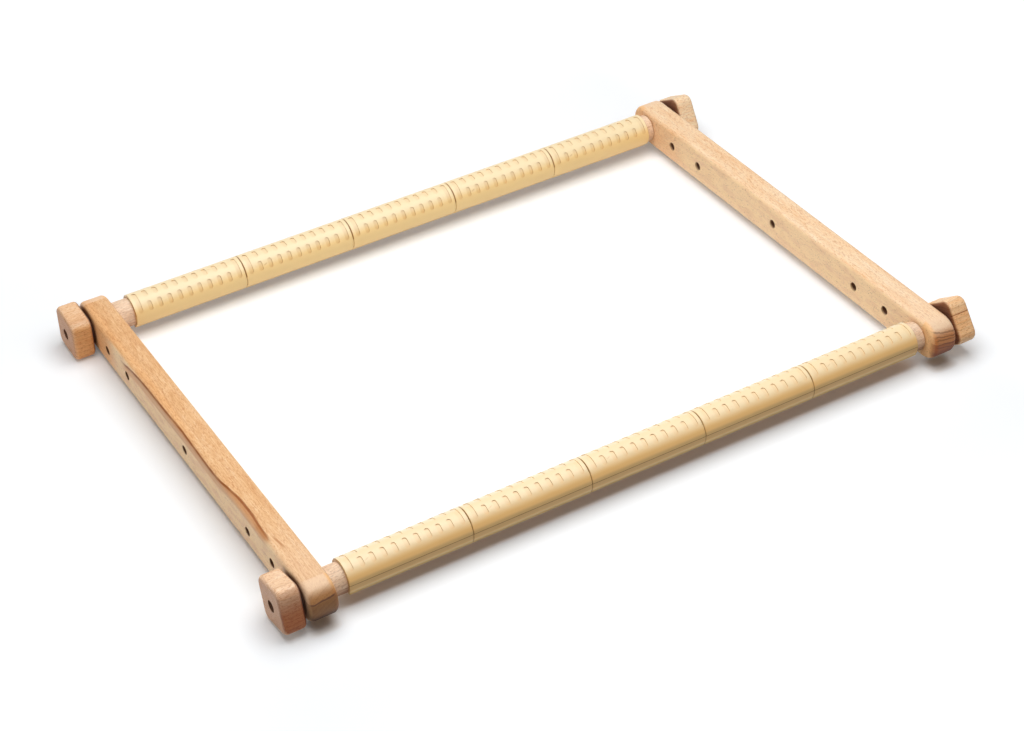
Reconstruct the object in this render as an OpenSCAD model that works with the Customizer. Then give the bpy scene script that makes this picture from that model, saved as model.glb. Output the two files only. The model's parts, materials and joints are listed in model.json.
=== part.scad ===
// Scroll frame for embroidery: two side bars, two dowel rollers with spring clips and four clamping knobs.
// X runs along the rollers, Y from the front roller to the back one, and Z is up.
// The origin is on the table, under the middle of the frame.

/* [Rollers] */
// Distance between the two roller axes
roller_spacing = 327.5; // [250:0.5:420]
// Diameter of the wooden dowel of a roller
dowel_d = 20; // [16:0.5:24]
// Chamfer on both ends of a dowel
dowel_chamfer = 0.6; // [0.2:0.1:1.5]
// Play between a dowel's end and the side bar it butts against
end_play = 0.1; // [0.05:0.05:0.4]
// Length of dowel that a row of clips leaves bare, both ends together
bare_dowel = 18; // [8:0.5:60]

/* [Clips] */
// Length of one clip
clip_length = 84.7; // [60:0.1:110]
// Gap between neighbouring clips
clip_gap = 0.3; // [0.1:0.1:1]
// Wall of a clip
clip_wall = 1.8; // [1.5:0.1:3]
// Clearance between a clip and the dowel, which the fabric fills
clip_clearance = 0.2; // [0.1:0.05:0.5]
// Angle round the dowel that a clip covers
clip_cover = 252; // [224:2:280]
// Chamfer round both ends of a clip
clip_chamfer = 0.4; // [0.2:0.1:0.8]
// How far the front clips are turned towards the front, from straight up
front_clip_turn = 1.5; // [-20:0.5:40]
// How far the back clips are turned towards the front, from straight up
back_clip_turn = 32.5; // [-20:0.5:40]
// How far the front row of clips sits to the right of the middle
front_row_shift = 1.2; // [-3:0.1:3]
// How far the back row of clips sits to the right of the middle
back_row_shift = 3; // [-3.5:0.1:3.5]

/* [Grip slots and thumb grooves] */
// Distance from one slot to the next, along the clip
slot_pitch = 7.6; // [4:0.1:10]
// Least plain length between the end slots and the clip's ends
slot_land = 2.5; // [1:0.1:6]
// Width of a slot, along the clip
slot_w = 3; // [1.5:0.1:3.6]
// Depth of a slot
slot_depth = 0.6; // [0.3:0.1:1]
// Angle from the crown to the near end of a slot
slot_from = 7.5; // [5:0.5:12]
// Angle from the crown to the far end of a slot
slot_to = 41.5; // [30:0.5:50]
// Angle from the crown to the upper edge of a thumb groove
groove_from = 82; // [70:0.5:88]
// Angle that the raised lip below a thumb groove takes up
lip_angle = 7; // [4:0.5:14]
// Depth of a thumb groove
groove_depth = 0.4; // [0.2:0.1:1]

/* [Side bars] */
// Distance from a roller's hole to the end of its side bar
bar_overhang = 19.75; // [15:0.25:30]
// Thickness of a side bar, along the rollers
bar_t = 19; // [15:0.5:26]
// Height of a side bar, which also sets its half-round ends
bar_h = 28; // [24:0.5:34]
// Rounding of a side bar's long edges
bar_edge_r = 3.5; // [1:0.5:5]
// Diameter of the holes across a side bar
bar_hole_d = 6.5; // [6.4:0.1:8]
// Distance from the roller hole to the next hole, and from that to the third
hole_pitch = 34.3; // [26:0.1:40]

/* [Knobs] */
// Width of a knob across its flats
knob_w = 31.5; // [24:0.5:34]
// Thickness of a knob
knob_t = 15; // [12:0.5:22]
// Radius of a knob's four corners
knob_corner_r = 6.5; // [3.5:0.5:9]
// Rounding of a knob's rims
knob_edge_r = 3; // [0.5:0.5:3]
// Diameter of the hole through a knob
knob_hole_d = 8; // [7.5:0.1:10]
// Turn of the front left knob, seen from the right
front_left_turn = -11; // [-45:1:45]
// Turn of the back left knob, seen from the right
back_left_turn = 4; // [-45:1:45]
// Turn of the front right knob, seen from the right
front_right_turn = -36; // [-45:1:45]
// Turn of the back right knob, seen from the right
back_right_turn = -29; // [-45:1:45]

/* [Hardware] */
// Diameter of the hanger bolts
bolt_d = 6; // [5:0.1:6]
// Length of a bolt that is screwed into the dowel
bolt_hold = 28; // [15:1:40]
// Length of a bolt that reaches into the knob
bolt_reach = 9.5; // [6:0.5:11]
// Length of a bolt's pointed tip
bolt_point = 6; // [2:0.5:9]
// Chamfer on a bolt's outer end
bolt_chamfer = 0.6; // [0.2:0.1:1.2]
// Clearance round a screwed or pressed thread
thread_clearance = 0.05; // [0.02:0.01:0.1]
// Length of the threaded insert in a knob
insert_length = 10; // [7:0.5:11.5]
// Depth of the insert below the knob's inner face
insert_depth = 0.3; // [0:0.1:0.5]
// Outer diameter of a washer
washer_d = 18; // [12:0.5:22]
// Thickness of a washer
washer_t = 2; // [1:0.1:3]
// Clearance between a washer and the bolt
washer_clearance = 0.2; // [0.1:0.05:0.5]

/* [Hidden] */
$fn = 96;
margin = 1;

front = -1;
back = 1;
left = -1;
right = 1;

beech = [0.86, 0.66, 0.45];
pale_beech = [0.88, 0.74, 0.62];
ivory = [0.93, 0.83, 0.60];
zinc = [0.75, 0.76, 0.77];
brass = [0.80, 0.66, 0.36];

clip_count = 5;
row_length = clip_count * clip_length + (clip_count - 1) * clip_gap;
inner_w = row_length + bare_dowel;
dowel_length = inner_w - 2 * end_play;
roller_y = roller_spacing / 2;
clip_inner_r = dowel_d / 2 + clip_clearance;
clip_r = clip_inner_r + clip_wall;
groove_to = clip_cover / 2 - lip_angle;
slot_places = floor((clip_length - slot_w - 2 * slot_land) / slot_pitch) + 1;
bar_length = roller_spacing + 2 * bar_overhang;
knob_x = inner_w / 2 + bar_t + washer_t;

// How far a knob reaches below its axis when it is turned by an angle
function knob_reach(turn) =
  (knob_w / 2 - knob_corner_r) * (cos(turn) + abs(sin(turn))) + knob_corner_r;

// The frame stands on what reaches lowest, which is a corner of a knob
axis_h = max(
  bar_h / 2, clip_r,
  knob_reach(front_left_turn), knob_reach(back_left_turn),
  knob_reach(front_right_turn), knob_reach(back_right_turn)
);

// Stands a shape made round Z on a roller axis: Z becomes X, X becomes up and Y becomes the front
module on_axis(side, x = 0, turn = 0) {
  translate([x, side * roller_y, axis_h])
    rotate([turn, 0, 0])
      rotate(a = 180, v = [1, 0, 1])
        children();
}

// The same, at one end of a roller, with Z pointing outwards
module at_end(side, hand, x = 0, turn = 0) {
  translate([hand * x, side * roller_y, axis_h])
    rotate([turn, 0, 0])
      rotate([0, hand * 90, 0])
        children();
}

module rounded_rect(w, h, r) {
  square([w - 2 * r, h], center = true);
  square([w, h - 2 * r], center = true);
  for (x = [-1, 1], y = [-1, 1])
    translate([x * (w / 2 - r), y * (h / 2 - r)])
      circle(r);
}

// A disc with rounded rims, as a turned end has
module rounded_disc(r, t, edge_r) {
  rotate_extrude()
    intersection() {
      rounded_rect(2 * r, t, edge_r);
      translate([0, -t / 2])
        square([r, t]);
    }
}

module bar_run() {
  rotate([90, 0, 0])
    linear_extrude(bar_length - bar_h, center = true)
      rounded_rect(bar_t, bar_h, bar_edge_r);
}

module bar_end(side) {
  translate([0, side * (bar_length - bar_h) / 2, 0])
    rotate([0, 90, 0])
      rounded_disc(bar_h / 2, bar_t, bar_edge_r);
}

module bar_hole(y) {
  translate([0, y, 0])
    rotate([0, 90, 0])
      cylinder(d = bar_hole_d, h = bar_t + 2 * margin, center = true);
}

module side_bar(hand) {
  color(beech)
    translate([hand * (inner_w + bar_t) / 2, 0, axis_h])
      difference() {
        union() {
          bar_run();
          bar_end(front);
          bar_end(back);
        }
        bar_hole(0);
        for (side = [front, back], step = [0:2])
          bar_hole(side * (roller_y - step * hole_pitch));
      }
}

module roller(side) {
  color(pale_beech)
    on_axis(side)
      difference() {
        rotate_extrude()
          polygon([
            [0, -dowel_length / 2],
            [dowel_d / 2 - dowel_chamfer, -dowel_length / 2],
            [dowel_d / 2, dowel_chamfer - dowel_length / 2],
            [dowel_d / 2, dowel_length / 2 - dowel_chamfer],
            [dowel_d / 2 - dowel_chamfer, dowel_length / 2],
            [0, dowel_length / 2]
          ]);
        for (turn = [0, 180])
          rotate([turn, 0, 0])
            translate([0, 0, dowel_length / 2 - bolt_hold])
              cylinder(r = bolt_d / 2 + thread_clearance, h = bolt_hold + margin);
      }
}

// A clip's wall, an open ring round the dowel, with both its ends chamfered
module clip_shell() {
  rotate([0, 0, -clip_cover / 2])
    rotate_extrude(angle = clip_cover)
      polygon([
        [clip_inner_r, 0],
        [clip_r - clip_chamfer, 0],
        [clip_r, clip_chamfer],
        [clip_r, clip_length - clip_chamfer],
        [clip_r - clip_chamfer, clip_length],
        [clip_inner_r, clip_length]
      ]);
}

// A shallow groove along each flank, where the thumb pulls the clip open, down to the lip at its mouth
module thumb_groove(flank) {
  rotate([0, 0, flank > 0 ? groove_from : -groove_to])
    translate([0, 0, -margin])
      rotate_extrude(angle = groove_to - groove_from)
        translate([clip_r - groove_depth, 0])
          square([groove_depth + margin, clip_length + 2 * margin]);
}

// A straight-sided cutter with round ends, pointing away from the axis at an angle from the crown
module slot_cutter(angle, span) {
  chord = 2 * clip_r * sin(span / 2);
  rotate([0, 0, angle])
    rotate([0, 90, 0])
      linear_extrude(clip_r + margin) {
        square([slot_w, chord - slot_w], center = true);
        for (end = [-1, 1])
          translate([0, end * (chord - slot_w) / 2])
            circle(d = slot_w);
      }
}

// Two rows of short slots beside the crown, with one long slot across both rows at each end
module grip_slots() {
  first = (clip_length - (slot_places - 1) * slot_pitch) / 2;
  difference() {
    for (i = [0:slot_places - 1])
      translate([0, 0, first + i * slot_pitch])
        if (i == 0 || i == slot_places - 1)
          slot_cutter(0, 2 * slot_to);
        else
          for (flank = [-1, 1])
            slot_cutter(flank * (slot_from + slot_to) / 2, slot_to - slot_from);
    translate([0, 0, -margin])
      cylinder(r = clip_r - slot_depth, h = clip_length + 2 * margin);
  }
}

module clip(side, number) {
  turn = side == front ? front_clip_turn : back_clip_turn;
  shift = side == front ? front_row_shift : back_row_shift;
  color(ivory)
    on_axis(side, shift - row_length / 2 + (number - 1) * (clip_length + clip_gap), turn)
      difference() {
        clip_shell();
        grip_slots();
        thumb_groove(-1);
        thumb_groove(1);
      }
}

// A square block with rounded corners and rims, its faces across Z
module knob_block() {
  straight = knob_w - 2 * knob_corner_r;
  for (turn = [0, 90])
    rotate([0, 0, turn])
      rotate([90, 0, 0])
        linear_extrude(straight, center = true)
          rounded_rect(knob_w, knob_t, knob_edge_r);
  for (x = [-1, 1], y = [-1, 1])
    translate([x * straight / 2, y * straight / 2, 0])
      rounded_disc(knob_corner_r, knob_t, knob_edge_r);
}

module knob(side, hand, turn) {
  color(beech)
    at_end(side, hand, knob_x + knob_t / 2, turn)
      difference() {
        knob_block();
        cylinder(d = knob_hole_d, h = knob_t + 2 * margin, center = true);
      }
}

module insert(side, hand) {
  color(brass)
    at_end(side, hand, knob_x + insert_depth)
      difference() {
        cylinder(d = knob_hole_d - 2 * thread_clearance, h = insert_length);
        translate([0, 0, -margin])
          cylinder(r = bolt_d / 2 + thread_clearance, h = insert_length + 2 * margin);
      }
}

module bolt(side, hand) {
  tip = dowel_length / 2 - bolt_hold + margin;
  end = knob_x + bolt_reach;
  color(zinc)
    at_end(side, hand)
      rotate_extrude()
        polygon([
          [0, tip],
          [bolt_d / 2, tip + bolt_point],
          [bolt_d / 2, end - bolt_chamfer],
          [bolt_d / 2 - bolt_chamfer, end],
          [0, end]
        ]);
}

module washer(side, hand) {
  color(zinc)
    at_end(side, hand, knob_x - washer_t)
      difference() {
        cylinder(d = washer_d, h = washer_t);
        translate([0, 0, -margin])
          cylinder(r = bolt_d / 2 + washer_clearance, h = washer_t + 2 * margin);
      }
}

side_bar(left);  // left_side_bar
side_bar(right);  // right_side_bar
roller(front);  // front_roller
roller(back);  // back_roller
clip(front, 1);  // front_clip_1
clip(front, 2);  // front_clip_2
clip(front, 3);  // front_clip_3
clip(front, 4);  // front_clip_4
clip(front, 5);  // front_clip_5
clip(back, 1);  // back_clip_1
clip(back, 2);  // back_clip_2
clip(back, 3);  // back_clip_3
clip(back, 4);  // back_clip_4
clip(back, 5);  // back_clip_5
knob(front, left, front_left_turn);  // front_left_knob
knob(back, left, back_left_turn);  // back_left_knob
knob(front, right, front_right_turn);  // front_right_knob
knob(back, right, back_right_turn);  // back_right_knob
insert(front, left);  // front_left_insert
insert(back, left);  // back_left_insert
insert(front, right);  // front_right_insert
insert(back, right);  // back_right_insert
bolt(front, left);  // front_left_bolt
bolt(back, left);  // back_left_bolt
bolt(front, right);  // front_right_bolt
bolt(back, right);  // back_right_bolt
washer(front, left);  // front_left_washer
washer(back, left);  // back_left_washer
washer(front, right);  // front_right_washer
washer(back, right);  // back_right_washer
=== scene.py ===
# Embroidery scroll frame: finishes, hardware with real threads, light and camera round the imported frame.
import json
import math

import bmesh
import bpy
from mathutils import Euler, Matrix, Vector


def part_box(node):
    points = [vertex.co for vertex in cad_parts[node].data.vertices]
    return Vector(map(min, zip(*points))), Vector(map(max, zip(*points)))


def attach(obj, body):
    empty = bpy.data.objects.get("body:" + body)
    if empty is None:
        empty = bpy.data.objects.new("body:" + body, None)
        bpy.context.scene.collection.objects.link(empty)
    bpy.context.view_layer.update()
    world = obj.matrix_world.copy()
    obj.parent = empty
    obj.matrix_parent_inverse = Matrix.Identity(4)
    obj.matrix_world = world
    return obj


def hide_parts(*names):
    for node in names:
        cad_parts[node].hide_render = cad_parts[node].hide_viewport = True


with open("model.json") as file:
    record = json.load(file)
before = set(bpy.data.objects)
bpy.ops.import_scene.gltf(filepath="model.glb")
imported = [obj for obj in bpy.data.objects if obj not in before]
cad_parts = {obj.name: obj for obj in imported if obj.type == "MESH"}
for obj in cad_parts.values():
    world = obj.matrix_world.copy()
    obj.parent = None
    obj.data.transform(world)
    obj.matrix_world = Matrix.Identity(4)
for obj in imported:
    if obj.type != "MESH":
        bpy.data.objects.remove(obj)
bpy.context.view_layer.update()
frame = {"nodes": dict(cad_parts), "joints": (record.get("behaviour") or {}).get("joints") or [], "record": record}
nodes = frame["nodes"]
joints = {joint["name"]: joint for joint in frame["joints"]}
mounts = {mount["name"]: mount["dims"] for mount in frame["record"]["mounts"]}
ends = [f"{row}_{hand}" for hand in ("left", "right") for row in ("front", "back")]
mm = 0.001


# A shader socket that can be used in sums, so that 1 - mask or (a + b) * 0.5 adds its own Math nodes.
class Wire:
    def __init__(self, tree, socket=None):
        self.tree = tree
        self.socket = socket

    def node(self, kind, settings, sockets, output=0):
        made = self.tree.nodes.new(kind)
        for name, value in settings.items():
            setattr(made, name, value)
        for name, value in sockets.items():
            if isinstance(value, Wire):
                self.tree.links.new(value.socket, made.inputs[name])
            else:
                made.inputs[name].default_value = value
        return Wire(self.tree, made.outputs[output])

    def maths(self, operation, *values):
        return self.node("ShaderNodeMath", {"operation": operation}, dict(enumerate(values)))

    def __add__(self, other):
        return self.maths("ADD", self, other)

    def __radd__(self, other):
        return self.maths("ADD", other, self)

    def __sub__(self, other):
        return self.maths("SUBTRACT", self, other)

    def __rsub__(self, other):
        return self.maths("SUBTRACT", other, self)

    def __mul__(self, other):
        return self.maths("MULTIPLY", self, other)

    def __rmul__(self, other):
        return self.maths("MULTIPLY", other, self)

    def __truediv__(self, other):
        return self.maths("DIVIDE", self, other)

    def __pow__(self, other):
        return self.maths("POWER", self, other)

    def __neg__(self):
        return self.maths("MULTIPLY", self, -1)

    def __abs__(self):
        return self.maths("ABSOLUTE", self)

    def rise(self, low, high):  # 0 below low, 1 above high, smooth between them
        return self.node("ShaderNodeMapRange", {"interpolation_type": "SMOOTHSTEP"},
                         {"Value": self, "From Min": low, "From Max": high})

    def nearing(self, face, deep, shallow):  # 0 deeper than deep under a face, 1 from shallow outwards
        return self.rise(face - deep, face - shallow)

    def near(self, place, full, gone):  # 1 closer than full to place, 0 further off than gone
        return 1 - abs(self - place).rise(full, gone)

    def within(self, low, high, soft):  # 1 between low and high
        return self.rise(low - soft, low + soft) * (1 - self.rise(high - soft, high + soft))

    def swing(self, reach):  # a noise runs round 0.5, and this makes it run round 0
        return (self - 0.5) * reach

    def point(self, x, y, z):
        return self.node("ShaderNodeCombineXYZ", {}, {"X": x, "Y": y, "Z": z})

    def noise(self, x, y, z, detail=2, roughness=0.5):
        return self.node("ShaderNodeTexNoise", {"noise_dimensions": "3D"},
                         {"Vector": self.point(x, y, z), "Scale": 1,
                          "Detail": detail, "Roughness": roughness})

    def mixed(self, first, second, factor, how="MIX"):  # 6, 7 and output 2 are the Mix node's colours
        return self.node("ShaderNodeMix", {"data_type": "RGBA", "blend_type": how},
                         {0: factor, 6: first, 7: second}, output=2)

    def ramp(self, stops):  # this value looked up in a row of colours, each with its place from 0 to 1
        colour = self.node("ShaderNodeValToRGB", {}, {"Fac": self})
        elements = colour.socket.node.color_ramp.elements
        for index, (place, tone) in enumerate(stops):
            stop = elements[index] if index < len(elements) else elements.new(place)
            stop.position = place
            stop.color = tone
        return colour

    def curve(self, points):  # this value passed through a curve, whose places and heights run from 0 to 1
        bent = self.node("ShaderNodeFloatCurve", {}, {"Value": self})
        mapping = bent.socket.node.mapping
        for place, height in points:
            mapping.curves[0].points.new(place, height)
        mapping.update()
        return bent

    def own(self, origin, turn=(0, 0, 0)):  # the piece's own axes: three wires in millimetres
        place = self.node("ShaderNodeTexCoord", {}, {}, output="Object")
        place = self.node("ShaderNodeMapping", {"vector_type": "TEXTURE"},
                          {"Vector": place, "Location": origin, "Rotation": turn, "Scale": (mm, mm, mm)})
        return [self.node("ShaderNodeSeparateXYZ", {}, {"Vector": place}, output=axis) for axis in "XYZ"]


def rgb(red, green, blue):  # a colour as it is seen, from 0 to 255, made linear by the sRGB curve
    linear = [v / 255 / 12.92 if v < 11 else ((v / 255 + 0.055) / 1.055) ** 2.4 for v in (red, green, blue)]
    return (*linear, 1)


def newFinish(name, settings):
    material = bpy.data.materials.new(name)
    material.use_nodes = True
    shader = material.node_tree.nodes["Principled BSDF"]
    for socket, value in settings.items():
        shader.inputs[socket].default_value = value
    return material, Wire(material.node_tree)


def layered(start, colour, look, layers):  # a layer: its tone's name, where it shows, how it is mixed
    for tone, mask, how in layers:
        colour = start.mixed(colour, look[tone], mask, how)
    return colour


def bumped(start, height, depth):  # depth is how far a height of 1 stands proud, in millimetres
    return start.node("ShaderNodeBump", {}, {"Strength": 1, "Distance": depth * mm, "Height": height})


def connect(material, **wires):
    shader = material.node_tree.nodes["Principled BSDF"]
    for name, wire in wires.items():
        material.node_tree.links.new(wire.socket, shader.inputs[name.replace("_", " ")])


def dress(name, material):
    target = nodes[name] if isinstance(name, str) else name
    target.data.materials.clear()
    target.data.materials.append(material)


def newObject(name, mesh):
    data = bpy.data.meshes.new(name)
    mesh.to_mesh(data)
    mesh.free()
    made = bpy.data.objects.new(name, data)
    bpy.context.scene.collection.objects.link(made)
    return made


# Camera: the angles and the lens come from a fit of the frame's corners to the photograph. Angles are in
# degrees, the lens and its sensor in millimetres, and the rest in metres.
camera = {"azimuth": 28.43, "elevation": 36.91, "roll": -3.44, "distance": 1.5065, "lens": 79.51,
          "target": (-0.02029, -0.04094, 0.01938), "sensor": 36, "nearest": 0.01}


def placeCamera():
    lens = bpy.data.cameras.new("photoCamera")
    lens.lens = camera["lens"]
    lens.sensor_width = camera["sensor"]
    lens.clip_start = camera["nearest"]
    viewer = bpy.data.objects.new("photoCamera", lens)
    bpy.context.scene.collection.objects.link(viewer)
    azimuth, elevation, roll = (math.radians(camera[angle]) for angle in ("azimuth", "elevation", "roll"))
    away = Vector((-math.sin(azimuth) * math.cos(elevation), -math.cos(azimuth) * math.cos(elevation),
                   math.sin(elevation)))
    turned = away.to_track_quat("Z", "Y").to_matrix().to_4x4() @ Matrix.Rotation(roll, 4, "Z")
    viewer.matrix_world = Matrix.Translation(Vector(camera["target"]) + away * camera["distance"]) @ turned
    bpy.context.scene.camera = viewer


placeCamera()
print("camera is placed")


# Studio: one wide soft box over the middle, a weak one on the left, and a white room. Sizes and places are
# in metres, powers in watts and tilts in degrees.
lamps = {
    "box": {"size": 0.95, "power": 10.4, "place": (0.0, -0.05, 0.95), "tilt": 0},
    "fill": {"size": 1.0, "power": 2.2, "place": (-1.3, 0.0, 0.5), "tilt": -90},
}
room = {"light": 0.12, "white": (1, 1, 1, 1)}  # light is how much of its white the room throws on the frame


def seenByEye(start):  # 1 for rays that the eye follows: straight, mirrored or through glass
    rays = [start.node("ShaderNodeLightPath", {}, {}, output=f"Is {ray} Ray")
            for ray in ("Camera", "Glossy", "Transmission")]
    return start.maths("MAXIMUM", rays[0], start.maths("MAXIMUM", rays[1], rays[2]))


def hangLamp(name, look):
    lamp = bpy.data.lights.new(name, "AREA")
    lamp.shape = "SQUARE"
    lamp.size = look["size"]
    lamp.energy = look["power"]
    hung = bpy.data.objects.new(name, lamp)
    hung.location = look["place"]
    hung.rotation_euler = (0, math.radians(look["tilt"]), 0)
    bpy.context.scene.collection.objects.link(hung)


def buildRoom():
    world = bpy.data.worlds.new("room")
    world.use_nodes = True
    bpy.context.scene.world = world
    backdrop = world.node_tree.nodes["Background"]
    strength = seenByEye(Wire(world.node_tree)) * (1 - room["light"]) + room["light"]
    world.node_tree.links.new(strength.socket, backdrop.inputs["Strength"])
    backdrop.inputs["Color"].default_value = room["white"]


bpy.context.scene.view_settings.view_transform = "Standard"
for name, look in lamps.items():
    hangLamp(name, look)
buildRoom()


# Floor: white paper that keeps the shadows, with painted shadows added under and beside the frame. Its places are
# millimetres from the middle of the frame.
floorLook = {
    "size": 8.0, "lift": 1.25, "lean": (0.075, 0.25),  # metres, millimetres and degrees
    "rough": 0.9, "shine": 0.1,
    "white": (0.878, 0.9, 0.922, 1), "bounceNear": 0.65, "bounceFar": 0.93, "bounceFade": (-190, -120),
    # its own glow: how strong, and from where to where it rises; quiet is half the size of what stays plain
    # the warm glow tone tints the glow inside the painted shadow under the front roller
    "glow": 0.16, "glowWhite": (1, 1, 1, 1), "glowTone": (1, 0.76, 0.58, 1), "quiet": (280, 230),
    "edgeGlow": (0.4, 0, 300), "farGlow": (0.6, 300, 1200),
    "rightGlow": (0.1, 245, 300), "backGlow": (0.045, 190, 245), "leftGlow": (0.03, 262, 310),
    # painted shadows on the floor, in x and in y: the middle, how far they are full and where they are gone
    "core": ((0, 205, 225), (-164, 5, 11)),  # right under the front roller
    "beside": ((-245, 12, 34), (0, 175, 215)),  # left of the left bar
    "tips": ((232, 3, 15), (-177, 4, 12)),  # under the near ends of both bars
    # the painted shadows' own tone darkens and warms the floor under the front roller and the bars' near ends, and
    # each painted shadow takes away some of the floor's glow
    "besideShow": 0.4, "shadeShow": 0.5, "tipTone": (0.62, 0.5, 0.4, 1),
}


def layFloor(look):
    mesh = bmesh.new()
    bmesh.ops.create_grid(mesh, x_segments=1, y_segments=1, size=look["size"] / 2)
    lean = Euler((math.radians(look["lean"][0]), math.radians(look["lean"][1]), 0)).to_matrix().to_4x4()
    bmesh.ops.transform(mesh, matrix=Matrix.Translation((0, 0, look["lift"] * mm)) @ lean, verts=mesh.verts)
    floor = newObject("floor", mesh)
    paper, start = newFinish("studioPaper", {"Roughness": look["rough"],
                                             "Specular IOR Level": look["shine"]})
    seen = seenByEye(start)
    x, y = start.own((0, 0, 0))[:2]
    bounce = y.rise(*look["bounceFade"]) * (look["bounceFar"] - look["bounceNear"]) + look["bounceNear"]
    # painted shadows: under the front roller, left of the left bar, and under the bars' near ends
    core, beside = (x.near(*look[name][0]) * y.near(*look[name][1]) for name in ("core", "beside"))
    tips = abs(x).near(*look["tips"][0]) * y.near(*look["tips"][1])
    grey = start.mixed(bounce, look["white"], seen)
    grey = start.mixed(grey, look["tipTone"], start.maths("MAXIMUM", core, tips) * seen * look["shadeShow"])

    beyond = start.maths("MAXIMUM", abs(x) - look["quiet"][0], abs(y) - look["quiet"][1])
    outwards = {"edgeGlow": beyond, "farGlow": beyond, "rightGlow": x, "backGlow": y, "leftGlow": -x}
    away = sum(wire.rise(*look[name][1:]) * look[name][0] for name, wire in outwards.items())
    shade = start.maths("MAXIMUM", beside * look["besideShow"], tips)
    shade = start.maths("MAXIMUM", core * look["shadeShow"], shade)
    glow = look["glow"] * (1 - shade)
    tint = start.mixed(look["glowWhite"], look["glowTone"], core)
    connect(paper, Base_Color=grey, Emission_Color=tint, Emission_Strength=seen * (away + glow))
    dress(floor, paper)


layFloor(floorLook)
print("studio is lit")


# Marks of the beech: how long they are, how many lie across a millimetre, the axis that the seed shifts,
# the values of the noise between which they come up, and how far they stand proud of the wood or lie in it.
grain = {
    "drift": {"long": 80, "often": 1 / 30, "shifted": 0, "detail": 1},
    "fibre": {"long": 9, "often": 1.7, "shifted": 1, "detail": 4, "roughness": 0.68, "proud": 0.5},
    "cloud": {"long": 45, "often": 1 / 6, "shifted": 2, "detail": 2},
    "fleck": {"long": 2.1, "often": 1.9, "shifted": 0, "detail": 1, "soft": 0.08, "proud": -0.3},
    "pore": {"long": 2.5, "often": 6, "shifted": 1, "detail": 1, "rise": (0.62, 0.72), "show": 0.7,
             "proud": -0.4},
    "ring": {"sharpness": 5, "edge": 0.95, "proud": -0.2},
    "speckle": {"often": 2.2, "detail": 3, "roughness": 0.7, "rise": (0.5, 0.75)},
}
tonePlaces = (0.15, 0.45, 0.6, 0.85)  # where a wood's four tones lie, from the darkest fibres to the palest
beechLook = {
    "fibreShow": 1.5, "cloudShow": 0.6, "fleckTone": rgb(198, 122, 66), "fleckFrom": 0.55, "fleckShow": 0.5,
    "endTone": rgb(184, 155, 117), "endDark": rgb(104, 62, 36), "speckleShow": 0.3, "endRings": 0.3,
    # the hole tone is the painted shade inside holes and bores, and also the colour of dark specks on the bars'
    # sides
    "holeTone": rgb(86, 40, 18), "bump": 0.05, "gloss": 1.45,
    "rough": 0.42, "fibreRough": 0.18, "fleckRough": 0.1,
}


def marks(start, kind, along, across, up, seed):
    mark = grain[kind]
    place = [along / mark["long"], across * mark["often"], up * mark["often"]]
    place[mark["shifted"]] += seed
    return start.noise(*place, detail=mark["detail"], roughness=mark.get("roughness", 0.5))


# Beech in the piece's own millimetres: along runs with the fibres, and rings lie round a pith beside it.
def beech(start, along, across, up, look):
    drift, fibre, cloud, fleck, pore = (marks(start, kind, along, across, up, look["seed"])
                                        for kind in ("drift", "fibre", "cloud", "fleck", "pore"))
    pithAcross, pithUp = look["pith"]
    fromPith = start.maths("SQRT", (across - pithAcross) ** 2 + (up - pithUp) ** 2)
    growth = start.maths("FRACT", (fromPith + drift.swing(look["ringWarp"])) / look["ringGap"])
    ring = growth ** grain["ring"]["sharpness"] * (1 - growth.rise(grain["ring"]["edge"], 1))
    fleck = fleck.rise(look["fleckFrom"], look["fleckFrom"] + grain["fleck"]["soft"])
    pore = pore.rise(*grain["pore"]["rise"])
    tone = fibre.swing(look["fibreShow"]) + cloud.swing(look["cloudShow"]) + 0.5  # 0.5 is the ramp's middle
    dots = start.maths("MAXIMUM", fleck, pore * grain["pore"]["show"])
    colour = layered(start, tone.ramp(zip(tonePlaces, look["tones"])), look, [
        ("ringTone", ring * look["ringShow"], "MIX"),
        ("fleckTone", dots * look["fleckShow"], "MIX"),
    ])
    proud = {"fibre": fibre, "fleck": fleck, "pore": pore, "ring": ring}
    return {"colour": colour, "across": across, "up": up, "ring": ring, "fibre": fibre, "cloud": cloud,
            "height": sum(wire * grain[kind]["proud"] for kind, wire in proud.items()),
            "rough": look["rough"] + fibre * look["fibreRough"] + fleck * look["fleckRough"]}


# Cut ends show end grain, which drinks the oil and turns dark; mask is 1 there.
def endGrain(start, wood, mask, look):
    mark = grain["speckle"]
    speckle = start.noise(look["seed"], wood["across"] * mark["often"], wood["up"] * mark["often"],
                          detail=mark["detail"], roughness=mark["roughness"])
    return layered(start, wood["colour"], look, [
        ("endTone", mask, "MULTIPLY"),
        ("endDark", mask * speckle.rise(*mark["rise"]) * look["speckleShow"], "MIX"),
        ("endDark", mask * wood["ring"] * look["endRings"], "MIX"),
    ])


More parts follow.
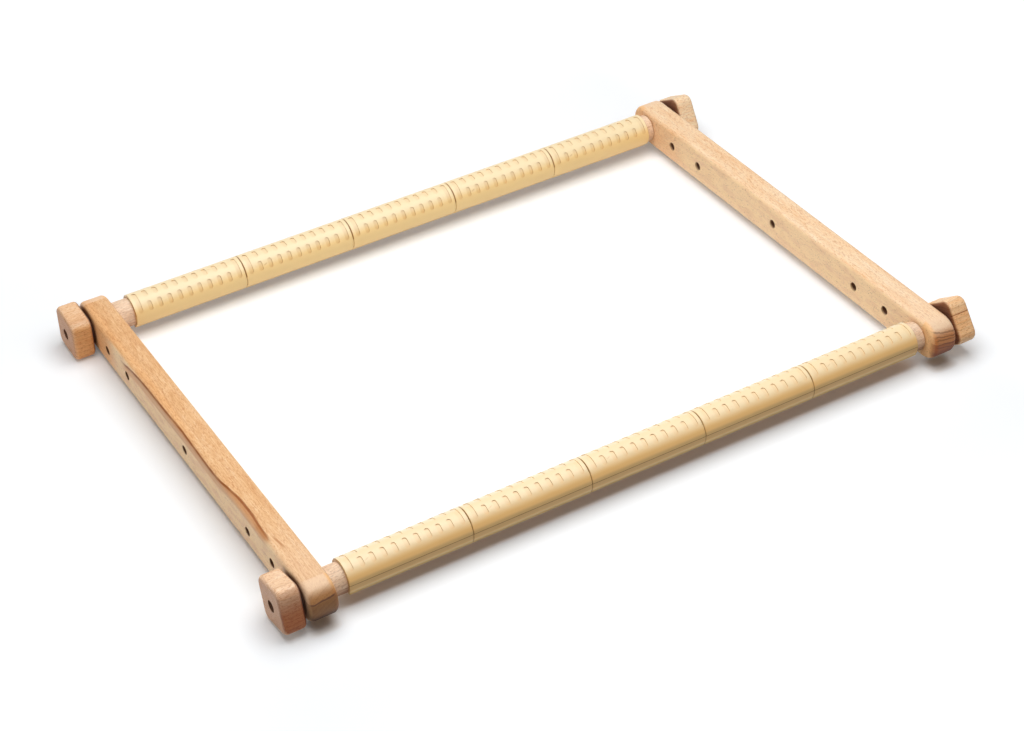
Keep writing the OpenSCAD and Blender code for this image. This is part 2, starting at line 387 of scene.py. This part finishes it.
# Side bars, in millimetres: depths are counted in from a face, and fades are places on the bar's own axes.
barLook = {
    **beechLook, "seed": 2.3, "pith": (26, -58), "ringGap": 2.9, "ringWarp": 6,
    "tones": [rgb(215, 155, 98), rgb(236, 186, 132), rgb(242, 197, 146), rgb(249, 214, 170)],
    "ringTone": rgb(196, 128, 72), "ringShow": 0.3,
    # sides, painted paler as painted light, except their far ends by the back roller, which keep the colour of the
    # top and are darkened a little as painted shade
    "sideDepth": (1.5, 0.3), "sideTone": rgb(255, 223, 177), "sideShow": 0.8,
    "flankFade": (110, 132), "farTone": rgb(255, 247, 238),
    "patchTone": rgb(222, 168, 138), "patchShow": 0.35, "patchSize": (14, 4), "patchRise": (0.45, 0.65),
    "threadShow": 0.3, "threadRise": (0.5, 0.66),
    "speckShow": 0.4, "speckSize": (1.1, 1 / 1.3, 0.8), "speckRise": (0.65, 0.71), "speckDetail": 1,
    # near part of the top
    "nearTone": rgb(255, 226, 196), "nearShow": 0.25, "nearFade": (90, 170),
    # shoulder, where the bar begins to round towards its end
    "shoulderTone": rgb(252, 216, 180), "shoulderShow": 0.6, "shoulderDepth": (15, 13.4), "shoulderWarp": 3,
    "gritShow": 0.35, "gritOften": (1.6, 0.7), "gritRise": (0.56, 0.7),
    "gritDetail": 3, "gritRoughness": 0.7,
    "cheekTone": rgb(255, 238, 208), "cheekFade": (5.5, 8),
    # round end, with its rings drawn as bands, the darker heart below them, and painted shade darker towards its
    # underside
    "endFrom": 6.5, "endSoft": 5.7, "endOffSide": 0.4, "underTone": rgb(98, 70, 46), "underFade": (1, 9),
    "bandDepth": (10, 7), "bandOffSide": 0.5, "bandFade": (6.2, 8.6), "bandOffCheek": 0.8,
    "bandCore": 0.4, "bandEdge": 2, "heartSoft": 0.6,
    # holes, with painted shade inside them that leaves their lit mouths paler, and the round painted shade on the
    # outer side in the gap under a knob
    "holeSoft": 0.3, "holeShow": 0.9, "holeLit": 0.5, "rimLight": 0.7,
    # round painted shade on the outer side, where the gap under the knob is in shade
    "rubbedTone": rgb(118, 78, 52), "rubbedReach": 16, "rubbedSoft": 5,
    "rubbedShow": 0.85, "rubbedRough": 0.4,
}
# Streak along the left bar's outer top edge: its course is y, and how far below the corner it lies there.
streakLook = {
    "course": [(-128, -2.4), (-120, -2.2), (-90, -3.6), (-67, -1.6), (-48, 0.8), (-17, 0.2),
               (5, -0.3), (27, 0.4), (60, 1.0), (87, 3.5), (105, 5.2)],
    "span": 12, "fadeIn": 10, "fadeOut": (-14, 2), "halfFade": (-1, 3),
    "tone": rgb(146, 76, 12), "show": 0.95, "width": 1.5, "core": 0.25,
    "wanderSize": (12, 3), "wanderShow": 1.1, "steady": 0.45,
    "haloTone": rgb(255, 246, 234), "haloDepth": (-6, 1, 2), "haloFade": (-30, 20),
    "sapTone": rgb(213, 153, 102), "sapShow": 0.7, "sapFrom": (0, 0.4), "sapFade": (5.5, 8.5),
    "secondBelow": (6.5, 0, 1.6), "secondAlong": (-6, 45, 8), "secondShow": 0.35,
    "smearBelow": (0.2, 2.6, 0.9), "smearShow": 0.45,
    # a blot under the streak's near end, and a short line beside it on the top
    "blotTone": rgb(186, 116, 56), "blotShow": 0.5, "blotBelow": (0, 3.5, 1), "blotAlong": (-124, -108, 4),
    "shortShow": 0.7, "shortDepth": (-5.4, 0.3, 1.1), "shortSlope": 0.14, "shortAlong": (-136, -124, 4),
}
bars = {
    "left": {
        **barLook, "endFrom": 7.8, "streak": streakLook,
        "bands": [5.7], "bandTone": rgb(92, 54, 32), "bandShow": 0.9, "bandWidth": 0.4,
        "bandSlope": -0.095, "bandWarp": 1.5, "heartBelow": 5.2, "heartTone": rgb(211, 207, 194),
    },
    "right": {
        **barLook, "seed": 7.1, "pith": (-16, -64), "ringGap": 2.7,
        "tones": [rgb(242, 188, 135), rgb(252, 215, 172), rgb(254, 223, 184), rgb(255, 233, 203)],
        "ringTone": rgb(226, 164, 100), "ringShow": 0.24, "fleckShow": 0.42, "patchShow": 0.25,
        # the right bar's inner side is painted paler too, as painted light
        "sideTone": rgb(255, 220, 171), "sideShow": 0.78, "endTone": rgb(206, 158, 113),
        "underTone": rgb(140, 94, 64), "holeLit": 1.8,
        "bands": [8.9, 6.1, 4.2, 1.2, -1.5],
        "bandTone": rgb(112, 66, 34), "bandShow": 0.6, "bandWidth": 0.34,
        "bandSlope": 0.158, "bandWarp": 2.4, "heartBelow": 1.5, "heartTone": rgb(210, 186, 170),
    },
}


def sideFinish(start, wood, bar, look):
    x, y, z, side, outward = (bar[name] for name in ("x", "y", "z", "side", "outward"))
    body = 1 - bar["end"]
    flank = side * (1 - y.rise(*look["flankFade"]))
    patchLong, patchWide = look["patchSize"]
    patch = start.noise(y / patchLong + look["seed"], x / patchWide, z / patchWide).rise(*look["patchRise"])
    threads = wood["fibre"].rise(*look["threadRise"])
    shoulder = abs(y) + wood["fibre"].swing(look["shoulderWarp"])
    shoulder = shoulder.nearing(bar["half"].y, *look["shoulderDepth"])
    gritAcross, gritAlong = look["gritOften"]
    grit = start.noise(x * gritAcross, y * gritAlong, z * gritAlong,
                       detail=look["gritDetail"], roughness=look["gritRoughness"])
    speckLong, speckWide, speckHigh = look["speckSize"]
    speck = start.noise(y / speckLong, x / speckWide, z / speckHigh + look["seed"],
                        detail=look["speckDetail"])
    return layered(start, wood["colour"], look, [
        # painted light on the sides, and painted shade on their far ends by the back roller
        ("sideTone", flank * body * look["sideShow"], "MIX"),
        ("farTone", (side - flank) * body, "MULTIPLY"),
        ("patchTone", patch * flank * body * look["patchShow"], "MIX"),
        ("fleckTone", threads * side * body * look["threadShow"], "MIX"),
        ("nearTone", (-y).rise(*look["nearFade"]) * (1 - side) * body * look["nearShow"], "MIX"),
        ("shoulderTone", shoulder * look["shoulderShow"], "MIX"),
        ("fleckTone", shoulder * grit.rise(*look["gritRise"]) * look["gritShow"], "MIX"),
        ("cheekTone", shoulder * (-outward).rise(*look["cheekFade"]), "MULTIPLY"),
        ("holeTone", speck.rise(*look["speckRise"]) * side * look["speckShow"], "MIX"),
    ])


def tipFinish(start, wood, bar, look):
    side, end = bar["side"], bar["end"]
    colour = endGrain(start, wood, end * (1 - side * look["endOffSide"]), look)
    tip = abs(bar["y"]).nearing(bar["half"].y, *look["bandDepth"]) * (1 - side * look["bandOffSide"])
    tip = tip * (1 - (-bar["outward"]).rise(*look["bandFade"]) * look["bandOffCheek"])
    height = bar["z"] + bar["x"] * look["bandSlope"] + wood["cloud"].swing(look["bandWarp"])
    bandCore, bandEdge = look["bandWidth"] * look["bandCore"], look["bandWidth"] * look["bandEdge"]
    heart = 1 - height.rise(look["heartBelow"] - look["heartSoft"], look["heartBelow"] + look["heartSoft"])
    lines = [("bandTone", height.near(band, bandCore, bandEdge) * tip * look["bandShow"], "MIX")
             for band in look["bands"]]
    return layered(start, colour, look, [
        *lines,
        ("heartTone", heart * end, "MULTIPLY"),
        # painted shade, darker towards the bottom of the ends
        ("underTone", (-bar["z"]).rise(*look["underFade"]) * end, "MULTIPLY"),
    ])


def streakFinish(start, colour, bar, look):
    x, y, z = bar["x"], bar["y"], bar["z"]
    first, last = look["course"][0][0], look["course"][-1][0]
    span = look["span"]  # the curve's heights of 0 to 1 stand for drops of half the span up or down
    points = [((place - first) / (last - first), (drop + span / 2) / span)
              for place, drop in look["course"]]
    drop = ((y - first) / (last - first)).curve(points) * span - span / 2
    depth = (bar["half"].z - z) - (x + bar["half"].x)  # 0 at the corner, more down the side, less on top
    below = depth - drop
    outerHalf = 1 - x.rise(*look["halfFade"])
    fadeOut = y.rise(last + look["fadeOut"][0], last + look["fadeOut"][1])
    present = y.rise(first, first + look["fadeIn"]) * (1 - fadeOut) * outerHalf
    wanderLong, wanderWide = look["wanderSize"]
    wander = start.noise(y / wanderLong, x / wanderWide, z / wanderWide)
    sap = below.rise(*look["sapFrom"]) * (1 - below.rise(*look["sapFade"])) * present
    second = below.near(*look["secondBelow"]) * y.within(*look["secondAlong"]) * outerHalf
    smear = below.within(*look["smearBelow"]) * wander * present
    dark = below.near(0, look["width"] * look["core"], look["width"])
    dark = dark * (wander * look["wanderShow"] + look["steady"]) * present
    blot = below.within(*look["blotBelow"]) * y.within(*look["blotAlong"]) * outerHalf
    slanted = depth - (y - look["shortAlong"][1]) * look["shortSlope"]
    short = slanted.near(*look["shortDepth"]) * y.within(*look["shortAlong"])
    return layered(start, colour, look, [
        ("haloTone", depth.within(*look["haloDepth"]) * y.rise(*look["haloFade"]), "MULTIPLY"),
        ("sapTone", sap * look["sapShow"], "MIX"),
        ("tone", second * wander * look["secondShow"], "MIX"),
        ("tone", smear * look["smearShow"], "MIX"),
        ("tone", dark * look["show"], "MIX"),
        ("blotTone", blot * look["blotShow"], "MIX"),
        ("blotTone", short * look["shortShow"], "MIX"),
    ])


def barFinish(hand, look):
    low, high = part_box(f"{hand}_side_bar")
    half = (high - low) / mm / 2
    material, start = newFinish(f"{hand}BarBeech", {"IOR": look["gloss"]})
    x, y, z = start.own((low + high) / 2)
    outward = x if hand == "right" else -x
    side = abs(x).nearing(half.x, *look["sideDepth"])
    end = abs(y).nearing(half.y, look["endFrom"], look["endFrom"] - look["endSoft"])
    bar = {"x": x, "y": y, "z": z, "outward": outward, "half": half, "side": side, "end": end}
    wood = beech(start, y, x, z, look)
    wood["colour"] = sideFinish(start, wood, bar, look)
    colour = tipFinish(start, wood, bar, look)
    if "streak" in look:
        colour = streakFinish(start, colour, bar, look["streak"])

    # seven holes: one in the middle, one on each roller's axis, and two open pairs between them
    roller = joints["back_roller_turn"]["pos_m"][1] / mm
    pairs = [mounts[f"{hand}_bar_{pair}_holes"] for pair in ("outer", "inner")]
    nearest = abs(y)
    for place in (roller, *(pair["spacing_x_mm"] / 2 for pair in pairs)):
        nearest = start.maths("MINIMUM", nearest, abs(abs(y) - place))
    radius = start.maths("SQRT", nearest ** 2 + z ** 2)
    rim = abs(x).nearing(half.x, look["holeLit"], look["holeLit"] / 3)  # lit mouth, full in its outer third
    inside = 1 - radius.rise(pairs[0]["hole_r_mm"], pairs[0]["hole_r_mm"] + look["holeSoft"])
    # painted shade in the gap between the knob and the bar's outer side, round the roller's axis
    fromAxis = start.maths("SQRT", (abs(y) - roller) ** 2 + z ** 2)
    gapShade = 1 - fromAxis.rise(look["rubbedReach"] - look["rubbedSoft"], look["rubbedReach"])
    gapShade = gapShade * outward.nearing(half.x, *look["sideDepth"])
    # painted shade inside the holes, left off their lit mouths, and round painted shade in the gap under the knob
    colour = layered(start, colour, look, [
        ("holeTone", inside * (1 - rim * look["rimLight"]) * look["holeShow"], "MIX"),
        ("rubbedTone", gapShade * look["rubbedShow"], "MULTIPLY"),
    ])
    connect(material, Base_Color=colour, Roughness=wood["rough"] + gapShade * look["rubbedRough"],
            Normal=bumped(start, wood["height"], look["bump"]))
    dress(f"{hand}_side_bar", material)


for hand, look in bars.items():
    barFinish(hand, look)
print("side bars are finished")


dowelLook = {
    **beechLook, "pith": (6, -17), "ringGap": 2.3, "ringWarp": 7,
    "tones": [rgb(222, 182, 146), rgb(242, 208, 174), rgb(247, 218, 188), rgb(252, 232, 210)],
    "ringTone": rgb(200, 148, 114), "ringShow": 0.45, "fleckTone": rgb(160, 112, 84), "fleckShow": 0.35,
    # painted shade that darkens each dowel towards its underside, strongly on the front dowel
    "endDepth": (0.7, 0.2), "underTone": rgb(160, 124, 100), "underFade": (-5, 2), "underWarp": 4,
}
dowels = {
    "front": {**dowelLook, "seed": 11.7, "underShow": 0.8},
    "back": {**dowelLook, "seed": 15.2, "underShow": 0.2},
}


def dowelFinish(row, look):
    low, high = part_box(f"{row}_roller")
    material, start = newFinish(f"{row}DowelBeech", {"IOR": look["gloss"]})
    x, y, z = start.own((low + high) / 2)
    wood = beech(start, x, y, z, look)
    end = abs(x).nearing((high.x - low.x) / 2 / mm, *look["endDepth"])
    # painted shade on the underside
    under = 1 - (z + wood["fibre"].swing(look["underWarp"])).rise(*look["underFade"])
    colour = endGrain(start, wood, end, look)
    colour = start.mixed(colour, look["underTone"], under * look["underShow"], "MULTIPLY")
    connect(material, Base_Color=colour, Roughness=wood["rough"],
            Normal=bumped(start, wood["height"], look["bump"]))
    dress(f"{row}_roller", material)


for row, look in dowels.items():
    dowelFinish(row, look)
print("dowels are finished")


# Knobs, each turned by its own angle in degrees: the fibres run along the roller's axis, so the outer and
# inner faces show end grain.
knobLook = {
    **beechLook, "pith": (9, -46), "ringGap": 2.2, "ringWarp": 4,
    "tones": [rgb(222, 162, 108), rgb(243, 196, 150), rgb(247, 206, 164), rgb(252, 222, 188)],
    "ringTone": rgb(180, 118, 70), "ringShow": 0.4,
    "endTone": rgb(218, 204, 200), "endDark": rgb(140, 100, 76), "endRings": 0.35, "speckleShow": 0.25,
    "faceDepth": (1.3, 0.1),
    "frontFrom": 12, "frontSoft": 3, "frontWarp": 3, "frontFade": 0, "fadeUp": (-2, 12),
    "lineWidth": (0.15, 0.6), "lineWarp": 1.2, "lineShow": 0.9,
    # painted shade inside the bore, taken off its lit mouth, and painted shade on the inner face in the gap by the
    # bar
    "boreFade": (4.05, 4.3), "boreShow": 0.85, "mouthDepth": (0.4, 0.05), "mouthLight": 0.6,
    "rubbedTone": rgb(130, 83, 53), "rubbedDepth": (2.0, 0.3), "rubbedShow": 0.85, "rubbedRough": 0.4,
}
fair = [rgb(236, 188, 142), rgb(250, 210, 170), rgb(253, 218, 182), rgb(255, 230, 204)]
warm = [rgb(248, 190, 132), rgb(255, 213, 165), rgb(255, 221, 178), rgb(255, 231, 200)]
pale = [rgb(250, 200, 148), rgb(255, 221, 178), rgb(255, 228, 190), rgb(255, 237, 210)]
knobs = {
    "front_left": {**knobLook, "turn": -11, "seed": 4.4, "tones": fair, "frontTone": rgb(176, 124, 86),
                   "frontFade": 0.5},
    "back_left": {**knobLook, "turn": 4, "seed": 8.9, "ringGap": 3.1, "frontTone": rgb(238, 214, 176),
                  "frontFrom": 13},
    "front_right": {**knobLook, "turn": -36, "seed": 13.5, "ringGap": 3.4, "tones": warm,
                    "frontTone": rgb(255, 240, 222), "darkLine": 4.6},
    "back_right": {**knobLook, "turn": -29, "seed": 19.2, "ringGap": 3.6, "ringShow": 0.15, "tones": pale,
                   "frontTone": rgb(255, 255, 255)},
}


def knobFinish(end, look):
    low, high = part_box(f"{end}_knob")
    half = (high.x - low.x) / 2 / mm
    material, start = newFinish(f"{end}KnobBeech", {"IOR": look["gloss"]})
    x, y, z = start.own((low + high) / 2, (math.radians(look["turn"]), 0, 0))
    wood = beech(start, x, y, z, look)
    front = -y + wood["cloud"].swing(look["frontWarp"])
    front = front.rise(look["frontFrom"], look["frontFrom"] + look["frontSoft"])
    front = front * (1 - z.rise(*look["fadeUp"]) * look["frontFade"])
    wood["colour"] = start.mixed(wood["colour"], look["frontTone"], front, "MULTIPLY")
    if "darkLine" in look:
        line = (z + wood["cloud"].swing(look["lineWarp"])).near(look["darkLine"], *look["lineWidth"])
        line = line * front * look["lineShow"]
        wood["colour"] = start.mixed(wood["colour"], look["ringTone"], line, "MULTIPLY")
    colour = endGrain(start, wood, abs(x).nearing(half, *look["faceDepth"]), look)
    # painted shade on the inner face in the gap by the bar, and inside the bore
    gapShade = (x if end.endswith("left") else -x).nearing(half, *look["rubbedDepth"])
    bore = 1 - start.maths("SQRT", y ** 2 + z ** 2).rise(*look["boreFade"])
    bore = bore * (1 - abs(x).nearing(half, *look["mouthDepth"]) * look["mouthLight"])
    colour = layered(start, colour, look, [
        ("rubbedTone", gapShade * look["rubbedShow"], "MULTIPLY"),
        ("holeTone", bore * look["boreShow"], "MIX"),
    ])
    connect(material, Base_Color=colour, Roughness=wood["rough"] + gapShade * look["rubbedRough"],
            Normal=bumped(start, wood["height"], look["bump"]))
    dress(f"{end}_knob", material)


for end, look in knobs.items():
    knobFinish(end, look)
print("knobs are finished")


# Clips: satin ivory plastic, with a little dirt in the joints; painted shade on the walls and floors of the slots,
# under the grooves' edges and in a band low on the flanks; and painted light that makes the crown paler than the
# flanks and the foot paler from the floor below. Sizes are in millimetres, and places are counted from the
# roller's axis.
clipLook = {
    "gloss": 1.5, "rough": 0.34, "cloudRough": 0.1, "dirtRough": 0.15,
    "bump": 0.02, "cloudProud": 2, "cloudSize": (18, 9), "cloudSwing": 2,
    "grainProud": 0.5, "grainOften": 2,
    "slotDepth": 0.6, "wallTrim": (0.08, 0.06), "wallSoft": 0.05, "floorSoft": 0.2,
    "slotsFrom": (7.5, 8.5), "farSoft": 3, "edgeBand": (0.9, 1.75, 0.1), "edgeDepth": (0.3, 0.05),
    "dirt": rgb(152, 98, 38), "edgeShow": 0.9, "jointWidth": 0.2, "jointSoft": 0.12,
    # a band of painted shade low on the flank
    "behindFade": (1, 8), "lowTone": rgb(198, 162, 104), "lowBand": (-3, 3.5, 1.2),
    # paler foot: painted light bounced up from the floor
    "footTone": rgb(238, 210, 150), "footFade": (2.4, 4.8),
}
clipRows = {
    # each row's flank, crown and behind tones are painted light and shade: the crown and its back paler, the
    # flanks darker, the front row's flanks darker than the back row's
    "front": {
        **clipLook, "turn": 1.5,
        "flank": rgb(253, 203, 128), "crown": rgb(255, 229, 184), "behind": rgb(255, 242, 214),
        "lean": 0.3, "pale": (2.0, 8.6), "lowShow": 0.55, "footShow": 0.9, "jointShow": 0.45,
        "slotTone": rgb(212, 164, 92), "wallShow": 0.85, "floorShow": 0.1, "farFrom": 0, "farSlots": 0.35,
    },
    "back": {
        **clipLook, "turn": 32.5,
        "flank": rgb(255, 219, 152), "crown": rgb(252, 229, 184), "behind": rgb(252, 229, 182),
        "lean": 0, "pale": (4.0, 9.2), "lowShow": 0, "footShow": 0, "jointShow": 0.2,
        "slotTone": rgb(176, 108, 28), "wallShow": 0.95, "floorShow": 0.13, "farFrom": -7, "farSlots": 0.6,
    },
}


# Painted shade on the walls and floors of the slots, weaker towards the far side.
def slotShade(start, radius, outer, crown, y, look):
    floor = outer - look["slotDepth"]
    wall = radius.within(floor + look["wallTrim"][0], outer - look["wallTrim"][1], look["wallSoft"])
    sunk = 1 - radius.rise(floor, floor + look["floorSoft"])
    slots = start.maths("MAXIMUM", wall * look["wallShow"], sunk * look["floorShow"])
    far = y.rise(look["farFrom"], look["farFrom"] + look["farSoft"]) * (1 - look["farSlots"])
    return slots * crown.rise(*look["slotsFrom"]) * (1 - far)


def clipFinish(row, look):
    axis = joints[f"{row}_roller_turn"]["pos_m"]
    low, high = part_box(f"{row}_clip_1")
    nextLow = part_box(f"{row}_clip_2")[0]
    outer = (high.z - axis[2]) / mm
    length, pitch = (high.x - low.x) / mm, (nextLow.x - low.x) / mm
    material, start = newFinish(f"{row}ClipIvory", {"IOR": look["gloss"]})
    x, y, z = start.own((low.x, axis[1], axis[2]))
    crown = start.own((low.x, axis[1], axis[2]), (math.radians(look["turn"]), 0, 0))[2]
    radius = start.maths("SQRT", y ** 2 + z ** 2)
    # painted shade in a line under each groove's upper edge
    inGroove = 1 - radius.nearing(outer, *look["edgeDepth"])
    edge = crown.within(*look["edgeBand"]) * inGroove * look["edgeShow"]
    alongClip = start.maths("FRACT", x / pitch) * pitch
    joint = 1 - alongClip.within(look["jointWidth"], length - look["jointWidth"], look["jointSoft"])
    # dirt in the joints, together with the painted shade under the grooves' edges
    dirt = start.maths("MAXIMUM", edge, joint * look["jointShow"])
    cloudLong, cloudWide = look["cloudSize"]
    cloud = start.noise(x / cloudLong, y / cloudWide, z / cloudWide)
    grainy = start.noise(x * look["grainOften"], y * look["grainOften"], z * look["grainOften"])
    # painted light: paler towards the crown, darker down the flanks
    crownLight = (z + y * look["lean"] + cloud.swing(look["cloudSwing"])).rise(*look["pale"])
    litCrownTone = start.mixed(look["crown"], look["behind"], y.rise(*look["behindFade"]))
    colour = layered(start, start.mixed(look["flank"], litCrownTone, crownLight), look, [
        # painted shade in a band low on the flank
        ("lowTone", z.within(*look["lowBand"]) * look["lowShow"], "MIX"),
        # painted light from the floor on the foot
        ("footTone", (-z).rise(*look["footFade"]) * look["footShow"], "MIX"),
        # painted shade in the slots
        ("slotTone", slotShade(start, radius, outer, crown, y, look), "MIX"),
        ("dirt", dirt, "MIX"),
    ])
    connect(material, Base_Color=colour,
            Roughness=look["rough"] + cloud * look["cloudRough"] + dirt * look["dirtRough"],
            Normal=bumped(start, grainy * look["grainProud"] + cloud * look["cloudProud"], look["bump"]))
    for name in nodes:
        if name.startswith(f"{row}_clip_"):
            dress(name, material)


for row, look in clipRows.items():
    clipFinish(row, look)
print("clips are finished")


# Metals: zinc plate on the bolts, the same plate darkened on the washers as painted shade of the gap they sit in,
# and dull brass in the knobs.
metalLook = {"stainOften": 3, "stainWide": 2, "stainDetail": 3,
             "stainRough": 0.2, "stainPlaces": (0.3, 0.7)}
metals = {
    "zincSteel": {**metalLook, "tones": [rgb(176, 178, 182), rgb(206, 207, 208)], "rough": 0.25},
    "dullZinc": {**metalLook, "tones": [rgb(84, 74, 68), rgb(112, 100, 92)], "rough": 0.55},
    "dullBrass": {**metalLook, "tones": [rgb(190, 150, 84), rgb(222, 188, 120)], "rough": 0.28,
                  "stainOften": 0.5},
}


def metalFinish(name, look):
    material, start = newFinish(name, {"Metallic": 1})
    x, y, z = start.own((0, 0, 0))
    stain = start.noise(x * look["stainOften"], y / look["stainWide"], z / look["stainWide"],
                        detail=look["stainDetail"])
    connect(material, Base_Color=stain.ramp(zip(look["stainPlaces"], look["tones"])),
            Roughness=look["rough"] + stain * look["stainRough"])
    return material


finishes = {name: metalFinish(name, look) for name, look in metals.items()}
for end in ends:
    dress(f"{end}_washer", finishes["dullZinc"])
    dress(f"{end}_insert", finishes["dullBrass"])


# Hanger bolts, in millimetres: a coarse wood thread with a pointed tip in the dowel, a plain shank where
# the bolt comes out, and a fine machine thread through bar and knob.
boltLook = {
    "segments": 24, "ringsPerTurn": 6, "shank": 3.0, "chamfer": 0.6, "rim": 0.02,
    "point": 7.0, "pointFlat": 0.06,
    "coarse": {"pitch": 2.5, "core": 2.0, "sharpness": 2},
    "fine": {"pitch": 1.0, "core": 2.4, "sharpness": 1},
}


# Where a point of a plain rod goes when it is threaded: its new height, and its distance from the axis. The
# angle is a share of a turn.
def threadPoint(height, angle, rod):
    halfShank, rim = boltLook["shank"] / 2, boltLook["rim"]
    thread = boltLook["coarse"] if height < rod["held"] - halfShank else boltLook["fine"]
    steps = boltLook["ringsPerTurn"] * thread["pitch"] / boltLook["fine"]["pitch"]
    phase = round((height / thread["pitch"] - angle) * steps) / steps  # the nearest line of the helix
    crest = (1 - abs(2 * (phase % 1) - 1)) ** thread["sharpness"]
    if abs(height - rod["held"]) < halfShank:
        crest = 1
    reach = min(thread["core"] + (rod["radius"] - thread["core"]) * crest,
                rod["radius"] * (boltLook["pointFlat"] + height / boltLook["point"]),
                rod["radius"] - boltLook["chamfer"] + rod["length"] - height)
    if rim / 2 < height < rod["length"] - rim / 2:
        height = min(max((phase + angle) * thread["pitch"], rim), rod["length"] - rim)
    return height, reach


def threadedBolt(end):
    row, hand = end.split("_")
    low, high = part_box(f"{end}_bolt")
    dowelLow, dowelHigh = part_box(f"{row}_roller")
    outward, bare = (1, high.x - dowelHigh.x) if hand == "right" else (-1, dowelLow.x - low.x)
    radius, length = (high.z - low.z) / 2 / mm, (high.x - low.x) / mm
    rod = {"radius": radius, "length": length, "held": length - bare / mm}
    mesh = bmesh.new()
    bmesh.ops.create_cone(mesh, cap_ends=True, segments=boltLook["segments"],
                          radius1=radius, radius2=radius, depth=length)
    upright = [edge for edge in mesh.edges if abs(edge.verts[0].co.z - edge.verts[1].co.z) > length / 2]
    rings = round(length / boltLook["fine"]["pitch"] * boltLook["ringsPerTurn"])
    bmesh.ops.subdivide_edges(mesh, edges=upright, cuts=rings - 1)
    for vert in mesh.verts:
        angle = math.atan2(vert.co.y, vert.co.x) / math.tau
        height, reach = threadPoint(vert.co.z + length / 2, angle, rod)
        vert.co.z = height - length / 2
        vert.co.xy = vert.co.xy.normalized() * reach
    bmesh.ops.recalc_face_normals(mesh, faces=mesh.faces)
    lie = Matrix.Rotation(outward * math.pi / 2, 4, "Y")
    middle = Matrix.Translation((low + high) / 2)
    bmesh.ops.transform(mesh, matrix=middle @ lie @ Matrix.Scale(mm, 4), verts=mesh.verts)
    bolt = newObject(f"{end}_thread", mesh)
    dress(bolt, finishes["zincSteel"])
    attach(bolt, f"{row}_roller")
    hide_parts(f"{end}_bolt")


for end in ends:
    threadedBolt(end)
print("hardware is finished")
